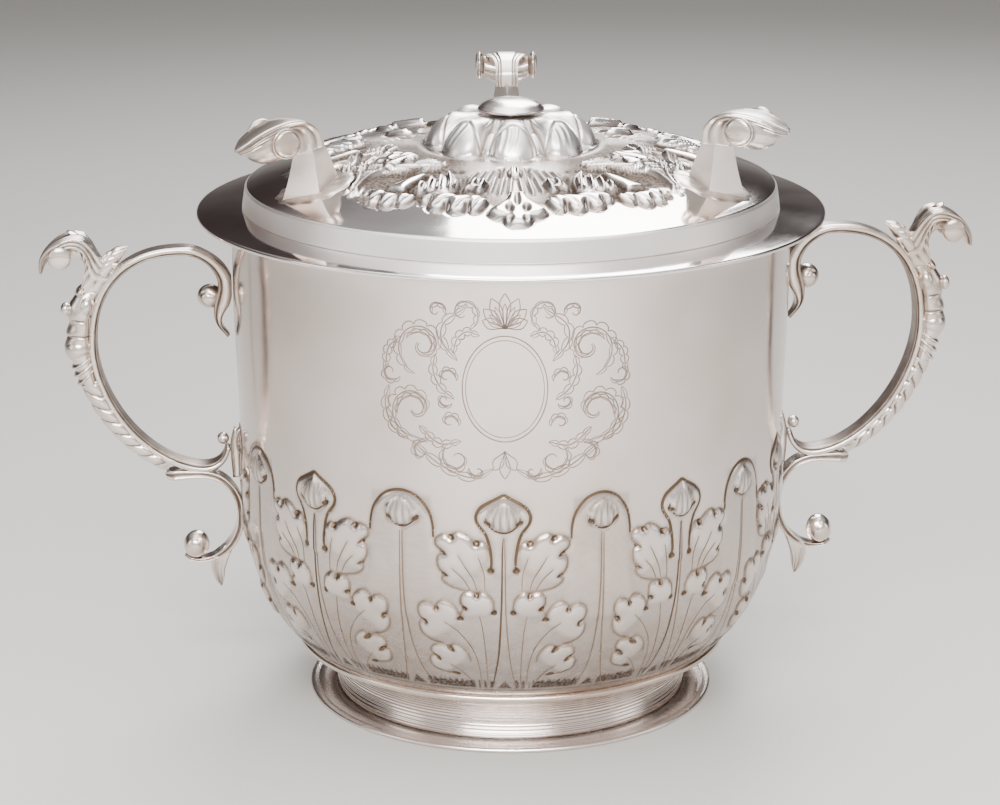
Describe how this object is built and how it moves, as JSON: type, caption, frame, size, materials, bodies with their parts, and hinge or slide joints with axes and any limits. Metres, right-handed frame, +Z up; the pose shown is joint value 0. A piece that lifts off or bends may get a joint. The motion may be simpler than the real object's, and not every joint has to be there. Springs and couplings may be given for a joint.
{
  "type": "two-handled covered cup",
  "caption": "Silver cup with a pair of scroll handles, a moulded foot and a lift-off domed cover on whose top stand scroll brackets; leaves chased round the bowl and cover.",
  "frame": {"origin": "on the cup's axis, at the underside of the foot", "axes": "+Z up along the axis of the cup; the handles reach along +X and -X; -Y is the front"},
  "size_m": [0.2656, 0.177, 0.1751],
  "materials": {
    "silver": "polished"
  },
  "bodies": {
    "cup": {"cup_bowl": "silver", "foot_wire": "silver", "foot_collar": "silver", "foot_flange": "silver", "handle_left_scroll": "silver", "handle_left_upper_ball": "silver", "handle_left_curl_ball": "silver", "handle_left_rib": "silver", "handle_left_term": "silver", "handle_left_thumb_leaf": "silver", "handle_left_thumb_bobbin": "silver", "handle_left_lower_bracket": "silver", "handle_left_lower_ball": "silver", "handle_left_drop_leaf": "silver", "handle_left_rising_leaf": "silver", "handle_right_scroll": "silver", "handle_right_upper_ball": "silver", "handle_right_curl_ball": "silver", "handle_right_rib": "silver", "handle_right_term": "silver", "handle_right_thumb_leaf": "silver", "handle_right_thumb_bobbin": "silver", "handle_right_lower_bracket": "silver", "handle_right_lower_ball": "silver", "handle_right_drop_leaf": "silver", "handle_right_rising_leaf": "silver"},
    "cover": {"cover_shell": "silver", "cover_flange": "silver", "cover_bezel": "silver", "cover_rosette": "silver", "rosette_button": "silver", "bracket_front_left_stem": "silver", "bracket_front_left_strap": "silver", "bracket_front_left_volute": "silver", "bracket_front_right_stem": "silver", "bracket_front_right_strap": "silver", "bracket_front_right_volute": "silver", "bracket_back_stem": "silver", "bracket_back_strap": "silver", "bracket_back_volute": "silver"}
  },
  "joints": [
    {"name": "cover_lift", "type": "slide", "parent": "cup", "child": "cover", "axis": [0, 0, 1], "range_m": [0, 0.06]}
  ]
}
